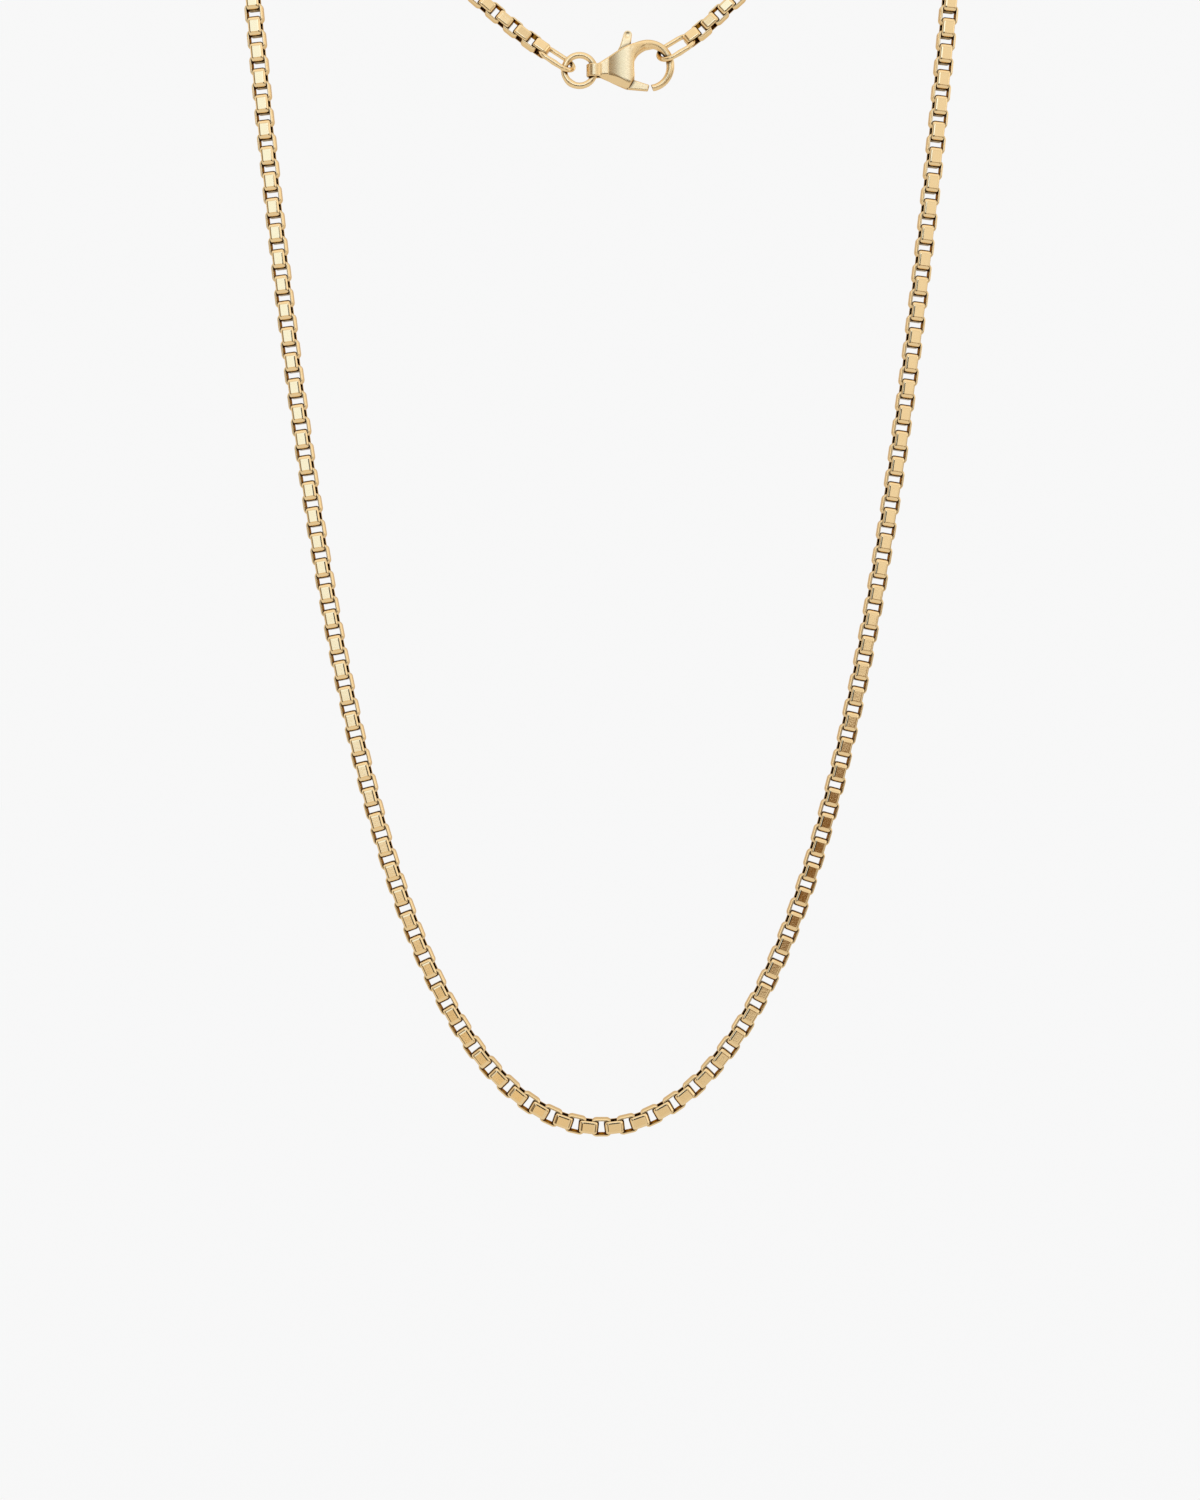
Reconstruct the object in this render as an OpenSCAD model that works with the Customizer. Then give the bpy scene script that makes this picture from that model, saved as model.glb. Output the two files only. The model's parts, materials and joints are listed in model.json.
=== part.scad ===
// Gold box chain necklace: a closed loop that hangs as it does when it is worn,
// open in the middle for the neck, with its lobster clasp at the back.
// X is across the chest, -Y is the front, Z is up, in millimetres.
// The origin is the neck seat: mid-way between the two sides, at the height of their highest links.

/* [Links] */
// Outside width of a link, across the chain
link_w = 2.0; // [1.9:0.05:2.1]
// Thickness of the strip that a link is bent from
strip_t = 0.27; // [0.25:0.01:0.29]
// Width of that strip
strip_w = 1.06; // [1.0:0.02:1.1]
// Outside radius of a link's four bends
bend_r = 0.5; // [0.4:0.05:0.6]
// Distance from one link to the next along the chain
link_pitch = 1.42; // [1.38:0.01:1.5]
// Slack between two hooked links
link_slack = 0.22; // [0.2:0.01:0.24]

/* [Loop round the neck] */
// Radius of the hanging front at its lowest link
sag_r = 12.32; // [12:0.04:14]
// Half the width of the front, where the chain turns back over the shoulders
front_half_w = 38; // [36:0.5:40]
// Distance from the front of the loop to its back
loop_depth = 54.5; // [50:0.5:60]
// Drop from the neck seat to the lowest link's centre
loop_drop = 145; // [140:1:150]
// Length of the plain run that stands for the links behind each shoulder
plain_run = 47; // [44:1:50]
// Distance along the chain from each plain run to the chain's end
run_to_end = 23; // [20:1:26]
// Gap between a plain run and the link next to it
run_gap = 0.2; // [0.15:0.05:0.3]

/* [Lean of the links] */
// Lean of the front links, which shows their inner sides
front_lean = 9; // [4:1:14]
// Lean of the back links, which shows their lower sides
back_lean = 8; // [6:1:12]
// Lean of the last link at each end, which the end loop goes through
end_lean = 42; // [38:1:44]
// Links over which the lean grows from the back's to the end's
lean_links = 7; // [6:1:10]

/* [Rings] */
// Mean radius of the jump ring
jump_r = 1.9; // [1.8:0.05:2.0]
// Wire radius of the jump ring
jump_wire_r = 0.4; // [0.36:0.02:0.42]
// Wire radius of the soldered end loops
loop_wire_r = 0.31; // [0.28:0.01:0.33]
// Width of the left end loop, between its wire's centres
left_loop_w = 2.4; // [2.3:0.1:2.6]
// Length of the left end loop, between its wire's centres
left_loop_l = 4.6; // [4.4:0.1:5]
// Width of the right end loop, between its wire's centres
right_loop_w = 2.8; // [2.7:0.1:2.9]
// Length of the right end loop, between its wire's centres
right_loop_l = 4.7; // [4.5:0.1:5]
// Turn of the left end loop out of the clasp's plane
left_loop_turn = 54; // [52:1:58]
// Turn of the right end loop out of the clasp's plane
right_loop_turn = 48; // [46:1:52]
// Angle at which the left end loop rises from the jump ring
left_loop_rise = 33; // [31:1:35]
// Angle at which the right end loop rises from the hook
right_loop_rise = 31; // [29:1:33]
// Place of the left end loop in the jump ring, as an angle from the ring's right
left_loop_at = 168; // [164:1:172]
// Place of the right end loop in the hook, as an angle from the hook's right
right_loop_at = 42; // [38:1:46]
// Angle at which the chain comes down to the left end loop
left_end_fall = 35; // [33:1:37]
// Angle at which the chain comes down to the right end loop
right_end_fall = 37; // [35:1:39]
// Gap between metal that hooks into other metal
hook_gap = 0.3; // [0.28:0.01:0.32]

/* [Clasp] */
// Radius of the hook, at the middle of its wire
hook_r = 2.8; // [2.7:0.05:2.9]
// Wire radius of the hook and the gate
hook_wire_r = 0.46; // [0.42:0.02:0.48]
// Distance from the lever's pin to the middle of the hook
hook_reach = 3.2; // [3.1:0.05:3.3]
// Where the hook leaves the body, as an angle from the hook's right
hook_root = 128; // [124:1:132]
// Where the hook's wire ends, before its tip is cut
hook_tip = -95; // [-98:1:-92]
// Where the gate leaves the lever's arm
gate_root = -142; // [-145:1:-140]
// Where the gate's wire ends, before its tip is cut
gate_tip = -88; // [-90:1:-86]
// Height of the clasp's body
body_h = 5.8; // [5.6:0.1:6]
// Length of the bulge of the body
bulge_l = 4.4; // [4.2:0.1:4.6]
// Distance from the lever's pin to the middle of the bulge
bulge_reach = 0.6; // [0.5:0.05:0.7]
// Thickness of the body
body_t = 2.6; // [2.5:0.1:2.8]
// Distance from the lever's pin to the corner that the gate comes out of
corner_reach = 1.1; // [1:0.05:1.2]
// How far that corner lies below the pin
corner_drop = 1.16; // [1.1:0.02:1.2]
// Distance from the lever's pin to the tail's eye
tail_reach = 3.55; // [3.45:0.05:3.65]
// Outside radius of the tail's eye
tail_r = 1.04; // [1.02:0.02:1.1]
// Height of the tail's eye
tail_h = 1.5; // [1.4:0.05:1.6]
// How far the tail's eye lies below the lever's pin
tail_drop = 0.45; // [0.4:0.05:0.5]
// Gap round the jump ring's wire in the tail's eye
eye_gap = 0.34; // [0.3:0.01:0.36]
// Thickness of the lever
lever_t = 0.9; // [0.8:0.05:0.95]
// Gap on each side of the lever
lever_gap = 0.1; // [0.08:0.01:0.12]
// Radius of the lever's pin
pin_r = 0.3; // [0.28:0.01:0.32]
// Gap round the pin
pin_gap = 0.04; // [0.03:0.01:0.05]
// Depth of the pin's seat in each cheek
pin_seat = 0.4; // [0.35:0.05:0.45]
// Radius of the lever's hub
hub_r = 0.75; // [0.7:0.05:0.8]
// How far the lever's arm reaches behind the gate's root
arm_reach = 1.45; // [1.4:0.05:1.5]
// How far the arm reaches below the gate's root
arm_drop = 0.63; // [0.6:0.01:0.65]
// Height of the thumb tab above the pin
tab_h = 4.2; // [4:0.1:4.4]
// Width of the thumb tab
tab_w = 0.9; // [0.8:0.05:0.95]
// How far the thumb tab leans towards the hook
tab_lean = 0.54; // [0.4:0.02:0.6]
// Gap at the slanted split between the gate and the hook's tip
split_gap = 0.12; // [0.1:0.01:0.14]
// Distance from the pin to that split
split_r = 4.3; // [4.25:0.05:4.35]
// Travel of the lever, which its slot is cut for
lever_travel = 28; // [24:1:30]

/* [Hidden] */
$fn = 32;

GOLD = "#e3bd72";
BRIGHT_GOLD = "#f0cf8c";

// The clasp lies a little to the right of the middle, below the neck seat, at the back
CLASP_AT = [2.75, loop_depth / 2, -19];
front_y = -loop_depth / 2;
link_l = link_pitch + link_slack + 2 * strip_t;
eye_bore_r = jump_wire_r + eye_gap;
// The thumb tab starts to lean just before it leaves the body
tab_root = 0.4 * body_h;
gate_wire_r = hook_wire_r - lever_gap / 2;

// Chosen points of the way round each side, as [across, back, up] from the neck seat:
// the control point behind the shoulder and the point where the chain comes into the back
LEFT_ROUTE = [[-38.0, 23.8, 8.9], [-15.1, 26.8, -10.7]];
RIGHT_ROUTE = [[38.9, 23.8, 9.1], [16.6, 26.8, -10.7]];
// How far each front end keeps its own direction before it turns back
FRONT_LEAD = 21;
// Steps that a side's curve is measured in
CURVE_STEPS = 120;
// The chain's direction at a point is taken from the points this far before and after it
DIR_REACH = 0.5;
// A plain run has eight sides and a ring at every second width of the chain
RUN_SIDES = 8;
RUN_RINGS = 13;

function sinh(x) = (exp(x) - exp(-x)) / 2;
function cosh(x) = (exp(x) + exp(-x)) / 2;
function asinh(x) = ln(x + sqrt(x * x + 1));
function unit(v) = v / norm(v);
// A direction in the clasp's plane, by its angle from the right
function in_plane(angle) = [cos(angle), 0, sin(angle)];
function flat_part(v, along) = unit(v - (v * along) * along);
function turned(v, about, angle) = v * cos(angle) + cross(about, v) * sin(angle);

// Where the two end loops start and end. Each is hooked into the clasp's side
// at one end and through the last link at the other.
JUMP_AT = CLASP_AT + [-tail_reach - jump_r, 0, -tail_drop];
HOOK_AT = CLASP_AT + [hook_reach, 0, 0];
LEFT_DIR = in_plane(180 - left_loop_rise);
RIGHT_DIR = in_plane(right_loop_rise);
LEFT_LOOP_FROM = JUMP_AT
    + (jump_r - jump_wire_r - loop_wire_r - hook_gap) * in_plane(left_loop_at);
RIGHT_LOOP_FROM = HOOK_AT
    + (hook_r - hook_wire_r - loop_wire_r - hook_gap) * in_plane(right_loop_at);
// The wire stands mid-way between the last link's end bar and its neighbour's,
// but for a third of its radius, because it bends back round the end bar
link_hold = (link_l - strip_t - link_pitch) / 2 - loop_wire_r / 3;
LEFT_END_DIR = in_plane(-left_end_fall);
RIGHT_END_DIR = in_plane(180 + right_end_fall);
LEFT_END = LEFT_LOOP_FROM + left_loop_l * LEFT_DIR - link_hold * LEFT_END_DIR;
RIGHT_END = RIGHT_LOOP_FROM + right_loop_l * RIGHT_DIR - link_hold * RIGHT_END_DIR;

// The front: a hanging chain's own curve. s is the distance along it from the lowest link.
front_arc = sag_r * sinh(front_half_w / sag_r);
function front_point(s, side) =
    [side * sag_r * asinh(s / sag_r), front_y, sqrt(sag_r * sag_r + s * s) - sag_r - loop_drop];
function front_dir(s, side) = unit([side * sag_r, 0, s]);

// A side: one curve behind the shoulder, then one along the back to the last link
function bezier(p, t) = pow(1 - t, 3) * p[0] + 3 * pow(1 - t, 2) * t * p[1]
    + 3 * (1 - t) * t * t * p[2] + t * t * t * p[3];
function side_curves(side, route, end, end_dir) =
    let (p0 = front_point(front_arc, side), d0 = front_dir(front_arc, side),
        into = unit(route[1] - route[0]), reach = norm(end - route[1]) / 3)
    [[p0, p0 + FRONT_LEAD * d0, route[0], route[1]],
     [route[1], route[1] + reach * into, end - reach * end_dir, end]];
function side_points(curves) = [for (c = curves) for (i = [0 : CURVE_STEPS - 1])
    bezier(c, i / (CURVE_STEPS - 1))];
// The distance along the chain at each of those points
function distances(p) = [for (i = 0, s = front_arc; i < len(p);
    s = s + (i + 1 < len(p) ? norm(p[i + 1] - p[i]) : 0), i = i + 1) s];
function side_table(p) = let (s = distances(p))
    [for (axis = [0 : 2]) [for (i = [0 : len(p) - 1]) [s[i], p[i][axis]]]];
function table_end(table) = table[0][len(table[0]) - 1][0];

LEFT_TABLE = side_table(side_points(side_curves(-1, LEFT_ROUTE, LEFT_END, LEFT_END_DIR)));
RIGHT_TABLE = side_table(side_points(side_curves(1, RIGHT_ROUTE, RIGHT_END, RIGHT_END_DIR)));

function chain_point(s, side, table) = s <= front_arc ? front_point(s, side)
    : [for (axis = [0 : 2]) lookup(s, table[axis])];
function chain_dir(s, side, table) = s <= front_arc - DIR_REACH ? front_dir(s, side)
    : unit(chain_point(s + DIR_REACH, side, table) - chain_point(s - DIR_REACH, side, table));
// At the last link the table has no point beyond, so the direction there is its own
function link_dir(s, side, table, end_dir) = s > table_end(table) - DIR_REACH ? end_dir
    : chain_dir(s, side, table);

// Which way a link's flat face looks: forwards, and leaned by the given angle
function face_dir(dir, lean) = turned(flat_part([0, -1, 0], dir), dir, lean);

// One link: a square ring of flat strip, its length along Z and its hole along Y
module link_outline(w, l, r) {
    square([w - 2 * r, l], center = true);
    square([w, l - 2 * r], center = true);
    for (x = [-1, 1], z = [-1, 1])
        translate([x * (w / 2 - r), z * (l / 2 - r)]) circle(r = r);
}

module link() {
    rotate([90, 0, 0]) linear_extrude(height = strip_w, center = true) difference() {
        link_outline(link_w, link_l, bend_r);
        link_outline(link_w - 2 * strip_t, link_l - 2 * strip_t, bend_r - strip_t);
    }
}

module placed(at, hole, along) {
    across = cross(hole, along);
    multmatrix([for (i = [0 : 2]) [across[i], hole[i], along[i], at[i]]]) children();
}

// A link at distance s. Every other one has its hole, and not its flat face, to the front.
module chain_link(s, side, table, end_dir, lean, open_front) {
    dir = link_dir(s, side, table, end_dir);
    face = face_dir(dir, lean);
    placed(chain_point(s, side, table), open_front ? face : cross(dir, face), dir) link();
}

// Half of the chain: the front links as far as the plain run, and the back links after it
module chain_side(side, table, end_dir, with_lowest) {
    total = table_end(table);
    links = round(total / link_pitch);
    step = total / links;
    back_links = round(run_to_end / step);
    front_links = links - back_links - round(plain_run / step);
    for (i = [with_lowest ? 0 : 1 : front_links - 1])
        chain_link(i * step, side, table, end_dir, side * front_lean, i % 2 == 0);
    for (j = [0 : back_links - 1]) {
        lean = back_lean + (end_lean - back_lean) * max(0, 1 - j / lean_links);
        chain_link(total - j * step, side, table, end_dir, side * lean, j % 2 == 1);
    }
}

// The plain run: one tube of the chain's own width, which fits between the links
module plain_tube(side, table) {
    total = table_end(table);
    links = round(total / link_pitch);
    step = total / links;
    back_links = round(run_to_end / step);
    front_links = links - back_links - round(plain_run / step);
    from = (front_links - 1) * step + link_l / 2 + run_gap;
    to = total - (back_links - 1) * step - link_l / 2 - run_gap;
    // Inwards and up is a direction that the run never takes
    inwards_and_up = [-side, 0, 0.6];
    points = [for (i = [0 : RUN_RINGS - 1])
        let (s = from + (to - from) * i / (RUN_RINGS - 1), dir = chain_dir(s, side, table),
            up = flat_part(inwards_and_up, dir), across = cross(dir, up))
        for (k = [0 : RUN_SIDES - 1]) let (turn = k * 360 / RUN_SIDES)
            chain_point(s, side, table) + link_w / 2 * (cos(turn) * up + sin(turn) * across)];
    walls = [for (i = [0 : RUN_RINGS - 2]) for (k = [0 : RUN_SIDES - 1])
        let (a = i * RUN_SIDES + k, b = i * RUN_SIDES + (k + 1) % RUN_SIDES)
            [a, a + RUN_SIDES, b + RUN_SIDES, b]];
    first = [for (k = [0 : RUN_SIDES - 1]) k];
    last = [for (k = [RUN_SIDES - 1 : -1 : 0]) (RUN_RINGS - 1) * RUN_SIDES + k];
    polyhedron(points, concat([first], [last], walls));
}

module chain_left() {
    color(GOLD) chain_side(-1, LEFT_TABLE, LEFT_END_DIR, true);
}

module chain_right() {
    color(GOLD) chain_side(1, RIGHT_TABLE, RIGHT_END_DIR, false);
}

module plain_run_left() {
    color(GOLD) plain_tube(-1, LEFT_TABLE);
}

module plain_run_right() {
    color(GOLD) plain_tube(1, RIGHT_TABLE);
}

// A soldered oval of round wire in the XY plane. It runs along +X from its first bend.
module oval_loop(l, w, wire) {
    end_r = w / 2;
    for (x = [end_r, l - end_r])
        translate([x, 0, 0]) rotate([0, 0, x == end_r ? 90 : -90])
            rotate_extrude(angle = 180) translate([end_r, 0]) circle(r = wire);
    for (y = [-end_r, end_r])
        translate([end_r, y, 0]) rotate([0, 90, 0]) cylinder(r = wire, h = l - w);
}

// The loop starts at the given point and runs along dir. Its lower side leans to the front.
module end_loop(from, dir, l, w, turn) {
    across = cross(dir, [0, 1, 0]);
    up = across[2] > 0 ? across : -across;
    wide = cos(turn) * up + sin(turn) * [0, 1, 0];
    third = cross(dir, wide);
    color(BRIGHT_GOLD) multmatrix([for (i = [0 : 2]) [dir[i], wide[i], third[i], from[i]]])
        oval_loop(l, w, loop_wire_r);
}

module end_loop_left() {
    end_loop(LEFT_LOOP_FROM, LEFT_DIR, left_loop_l, left_loop_w, left_loop_turn);
}

module end_loop_right() {
    end_loop(RIGHT_LOOP_FROM, RIGHT_DIR, right_loop_l, right_loop_w, right_loop_turn);
}

module jump_ring() {
    color(BRIGHT_GOLD) translate(JUMP_AT) rotate([90, 0, 0])
        rotate_extrude() translate([jump_r, 0]) circle(r = jump_wire_r);
}

// The clasp's own pieces are drawn round the lever's pin, which lies along Y
module ring_arc(from, to, wire) {
    translate([hook_reach, 0, 0]) rotate([90, 0, 0]) rotate([0, 0, from])
        rotate_extrude(angle = to - from) translate([hook_r, 0]) circle(r = wire);
}

// A flat piece in the clasp's plane, of the given thickness
module plate(t) {
    rotate([90, 0, 0]) linear_extrude(height = t, center = true) children();
}

// The space that the lever sweeps between the two cheeks
module lever_slot() {
    clear = hub_r + 2 * lever_gap;
    left = -hub_r - tab_h * sin(lever_travel) - lever_gap;
    lean_in_body = tab_lean * (0.5 * body_h - tab_root) / (tab_h - tab_root);
    right = tab_w / 2 + lean_in_body + lever_gap;
    plate(lever_t + 2 * lever_gap) {
        circle(r = clear);
        polygon([[right, 0], [right, tab_h], [left, tab_h], [left, 1.5 * hub_r],
            [-clear - 2 * lever_gap, 0], [-clear, -hub_r], [0, -hub_r]]);
        translate([-clear, -body_h]) square([clear + hook_reach + hook_r, body_h]);
    }
}

module body_shell() {
    hull() {
        translate([-tail_reach + tail_r, 0, -tail_drop]) sphere(r = tail_h / 2);
        translate([bulge_reach, 0, 0]) scale([bulge_l, body_t, body_h] / 10) sphere(r = 5);
    }
    translate([-tail_reach, 0, -tail_drop]) cylinder(r = tail_r, h = tail_h, center = true);
}

// The lower right corner of the body, which the gate comes out of
module gate_corner() {
    translate([corner_reach, -body_t, -body_h])
        cube([body_h, 2 * body_t, body_h - corner_drop]);
}

module clasp_body() {
    color(BRIGHT_GOLD) translate(CLASP_AT) difference() {
        union() {
            difference() {
                body_shell();
                // The hook's opening
                plate(2 * body_t) translate([hook_reach, 0]) circle(r = hook_r - hook_wire_r);
                gate_corner();
                lever_slot();
            }
            ring_arc(hook_tip, hook_root, hook_wire_r);
        }
        // The eye, upright, and the pin's seats
        translate([-tail_reach, 0, -tail_drop]) cylinder(r = eye_bore_r, h = 2 * tail_h, center = true);
        rotate([90, 0, 0])
            cylinder(r = pin_r + pin_gap, h = lever_t + 2 * (lever_gap + pin_seat), center = true);
        // The hook's tip, cut round the lever's pin so that the gate swings clear of it
        intersection() {
            rotate([90, 0, 0]) cylinder(r = split_r + split_gap, h = 2 * body_t, center = true);
            gate_corner();
        }
    }
}

module clasp_lever() {
    gate_at = [hook_reach + hook_r * cos(gate_root), hook_r * sin(gate_root)];
    color(BRIGHT_GOLD) translate(CLASP_AT) difference() {
        union() {
            plate(lever_t) {
                circle(r = hub_r);
                // The thumb tab
                polygon([[-hub_r, 0], [-tab_w / 2, tab_root], [tab_lean - tab_w / 2, tab_h],
                    [tab_lean + tab_w / 2, tab_h], [tab_w / 2, tab_root], [tab_w / 4, hub_r]]);
                translate([tab_lean, tab_h]) circle(r = tab_w / 2);
                // The arm down to the gate
                polygon([[-hub_r, 0], gate_at - [arm_reach, 0], gate_at - [0, arm_drop],
                    gate_at + [gate_wire_r, -gate_wire_r / 2], [0.8 * hub_r, -hub_r]]);
            }
            intersection() {
                ring_arc(gate_root, gate_tip, gate_wire_r);
                rotate([90, 0, 0]) cylinder(r = split_r, h = body_t, center = true);
            }
        }
        rotate([90, 0, 0]) cylinder(r = pin_r + pin_gap, h = body_t, center = true);
    }
}

module lever_pin() {
    color(GOLD) translate(CLASP_AT) rotate([90, 0, 0])
        cylinder(r = pin_r, h = lever_t + 2 * (lever_gap + pin_seat - pin_gap), center = true);
}

chain_left();
chain_right();
plain_run_left();
plain_run_right();
end_loop_left();
end_loop_right();
jump_ring();
clasp_body();
clasp_lever();
lever_pin();
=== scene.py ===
"""A gold box chain necklace, hanging as it is worn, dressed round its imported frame.

Lengths are in millimetres until a mesh is made: MM turns them into metres.
X is across the chest, -Y is the front and Z is up, with the origin at the neck seat.
"""

import json
import math

import bpy
import numpy as np
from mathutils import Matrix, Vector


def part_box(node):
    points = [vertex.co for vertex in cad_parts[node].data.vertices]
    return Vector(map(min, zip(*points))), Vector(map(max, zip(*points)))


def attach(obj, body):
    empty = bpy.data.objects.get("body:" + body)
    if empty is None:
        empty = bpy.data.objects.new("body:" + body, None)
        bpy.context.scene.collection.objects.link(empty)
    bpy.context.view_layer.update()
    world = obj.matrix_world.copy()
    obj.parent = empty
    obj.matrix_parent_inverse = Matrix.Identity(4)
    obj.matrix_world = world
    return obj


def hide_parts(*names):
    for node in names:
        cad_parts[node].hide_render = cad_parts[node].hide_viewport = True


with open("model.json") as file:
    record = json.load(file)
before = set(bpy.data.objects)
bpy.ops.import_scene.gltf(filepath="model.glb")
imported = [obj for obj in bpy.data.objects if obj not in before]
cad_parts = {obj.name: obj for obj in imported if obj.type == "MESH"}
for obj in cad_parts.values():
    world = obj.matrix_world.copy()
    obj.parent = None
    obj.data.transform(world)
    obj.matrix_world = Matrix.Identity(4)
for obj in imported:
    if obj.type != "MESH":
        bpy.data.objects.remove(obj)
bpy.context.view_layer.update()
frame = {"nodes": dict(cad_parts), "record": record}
MM = 0.001

# Camera
# It stands level in front of the chain, so that the lowest link and the clasp come where
# they are in the picture: 9.15 pixels to a millimetre at the front of the loop.
IMAGE_W, IMAGE_H = 1200, 1500
LOWEST_LINK_PX = (601.45, 1126.7)
PIXELS_PER_MM = 9.15
VIEW_DISTANCE = 400.0
SENSOR = 36.0
NEAR_CLIP = 10.0

mounts = {mount["name"]: mount for mount in frame["record"]["mounts"]}
lowest_link = np.array(mounts["pendant_seat"]["pos_m"]) / MM
camera_at = np.array([
    (IMAGE_W / 2 - LOWEST_LINK_PX[0]) / PIXELS_PER_MM,
    lowest_link[1] - VIEW_DISTANCE,
    lowest_link[2] + (LOWEST_LINK_PX[1] - IMAGE_H / 2) / PIXELS_PER_MM,
])

camera = bpy.data.objects.new("camera", bpy.data.cameras.new("camera"))
camera.data.sensor_width = SENSOR
camera.data.lens = SENSOR * PIXELS_PER_MM * VIEW_DISTANCE / IMAGE_H
camera.data.clip_start = NEAR_CLIP * MM
camera.location = camera_at * MM
camera.rotation_euler = (math.radians(90), 0, 0)
bpy.context.collection.objects.link(camera)
bpy.context.scene.camera = camera

# Chain
# Box links of 14 carat yellow gold. Each is a strip of rolled wire bent to a square ring
# and soldered, hooked through the next, and the outer walls are ground flat and satin.
LINK_W, LINK_L = 2.0, 2.25
BEND_R = 0.58
FLAT_HALF_L = 0.53
# Shares of a bend's angle, closer near the ground flat, so that its edge stays crisp
BEND_SHARES = [0, 0.05, 0.14, 0.28, 0.46, 0.72, 1]
# The strip's outer face is flat in the middle, and its edges are quarters of an ellipse
FLAT_HALF_W, EDGE_W, EDGE_DEPTH = 0.38, 0.31, 0.2
EDGE_ANGLES = [0, 12, 26, 42, 62, 90]
# From there to its inner face: to the side, below the outer face, degrees it has turned
INNER_EDGE = [(0.686, 0.24, 110), (0.665, 0.268, 145), (0.61, 0.28, 180)]
# Faces across the strip, counted from its middle one, that are satin and that are polished
SATIN_FACES, OUTER_FACES = 1, 7
LINK_PITCH = 1.42
# The front hangs in a chain's own curve, with this radius at the lowest link
SAG_R, FRONT_HALF_W = 12.32, 38.0
# The links' faces lean from the front by these degrees: in front, behind, and at each end,
# which the last few links turn to
FRONT_LEAN, BACK_LEAN, END_LEAN, LEAN_LINKS = 6.5, 8.0, 20.0, 3
# Lengths of chain: behind the shoulder, where the faces turn, and from there to the end
TURNING_RUN, RUN_TO_END = 47.0, 23.0
# How far the front's direction is kept beyond its upper end, on the way to the shoulder
FRONT_LEAD = 21.0
# shoulder is the control point behind the shoulder, back is where the chain comes into the
# back, end is the last link's centre, and end_angle is the direction that the chain ends in
ROUTES = {
    "left": {"side": -1, "shoulder": (-38.0, 23.8, 8.9), "back": (-15.1, 26.8, -10.7),
             "end": (-7.545, 27.25, -16.678), "end_angle": -35},
    "right": {"side": 1, "shoulder": (38.9, 23.8, 9.1), "back": (16.6, 26.8, -10.7),
              "end": (11.378, 27.25, -15.336), "end_angle": 217},
}
CURVE_STEPS = 120
DIRECTION_REACH = 0.5


def unit(v):
    """v made one long."""
    return v / np.linalg.norm(v)


def turned(v, about, degrees):
    """v, which is square to the unit vector about, turned round it."""
    a = math.radians(degrees)
    return v * math.cos(a) + np.cross(about, v) * math.sin(a)


def flat_part(v, along):
    """The part of v that is square to along, made one long."""
    return unit(v - np.dot(v, along) * along)


def bezier(p, t):
    """The places at t on the curve with the four control points p."""
    t = t[:, None]
    return ((1 - t) ** 3 * p[0] + 3 * (1 - t) ** 2 * t * p[1]
            + 3 * (1 - t) * t ** 2 * p[2] + t ** 3 * p[3])


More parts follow.
